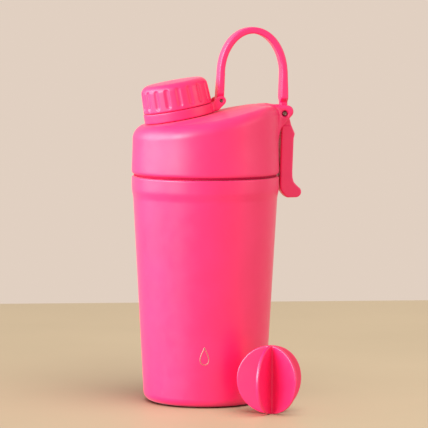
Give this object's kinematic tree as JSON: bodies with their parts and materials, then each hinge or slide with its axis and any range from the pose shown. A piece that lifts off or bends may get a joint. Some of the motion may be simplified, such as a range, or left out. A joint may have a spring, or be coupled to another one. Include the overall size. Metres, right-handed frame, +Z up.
{
  "type": "protein shaker bottle",
  "caption": "Insulated shaker bottle with a slanted screw lid, an off-centre ribbed spout cap, a carry loop, a hanging rear arm and a loose finned agitator.",
  "frame": {"origin": "centre of the base on the cup's axis, at the surface it stands on", "axes": "+Z up the cup's axis; +X towards the lug that carries the loop and the arm; -X is the side the spout leans to"},
  "size_m": [0.1061, 0.1247, 0.2343],
  "materials": {
    "cup_coat": "matte powder coat",
    "lid_plastic": "satin",
    "agitator_plastic": "satin",
    "steel": "brushed",
    "foot_rubber": "matte",
    "seal_silicone": "matte"
  },
  "bodies": {
    "cup": {"cup_outer_shell": "cup_coat", "cup_inner_liner": "steel", "cup_base_plate": "steel", "vacuum_plug": "steel", "getter": "steel", "base_pad": "foot_rubber"},
    "gasket": {"lid_gasket": "seal_silicone"},
    "lid": {"lid_shell": "lid_plastic", "lid_insert": "lid_plastic", "loop_rear_pin": "steel"},
    "loop": {"carry_loop": "lid_plastic", "loop_front_pin": "steel"},
    "ring": {"cap_ring": "lid_plastic"},
    "cap": {"cap_shell": "lid_plastic", "cap_liner": "lid_plastic", "cap_seal": "seal_silicone"},
    "arm": {"hang_hook": "lid_plastic"},
    "agitator": {"agitator_ball": "agitator_plastic"}
  },
  "joints": [
    {"name": "lid_lift", "type": "slide", "parent": "cup", "child": "gasket", "axis": [0, 0, 1], "range_m": [0, 0.0181]},
    {"name": "lid_turn", "type": "hinge", "parent": "gasket", "child": "lid", "pos_m": [0, 0, 0.142], "axis": [0, 0, 1], "range_deg": [0, 720]},
    {"name": "loop_swing", "type": "hinge", "parent": "lid", "child": "loop", "pos_m": [0.0488, 0, 0.18055], "axis": [0, 1, 0], "range_deg": [0, 90]},
    {"name": "ring_tilt", "type": "hinge", "parent": "loop", "child": "ring", "pos_m": [0.0089, 0, 0.1887], "axis": [0, 1, 0], "range_deg": [0, 18.1]},
    {"name": "cap_turn", "type": "hinge", "parent": "ring", "child": "cap", "pos_m": [-0.0163, 0, 0.1774], "axis": [-0.1867, 0, 0.9824], "range_deg": [0, 540]},
    {"name": "arm_swing", "type": "hinge", "parent": "lid", "child": "arm", "pos_m": [0.0488, 0, 0.18055], "axis": [0, -1, 0], "range_deg": [0, 30]},
    {"name": "agitator_lift", "type": "slide", "parent": "cup", "child": "agitator", "axis": [0, 0, 1], "range_m": [0, 0.06]}
  ],
  "couplings": [
    {"joint": "lid_lift", "follows": "lid_turn", "m_per_rad": 0.0014324},
    {"joint": "ring_tilt", "follows": "loop_swing", "ratio": 0.2}
  ]
}
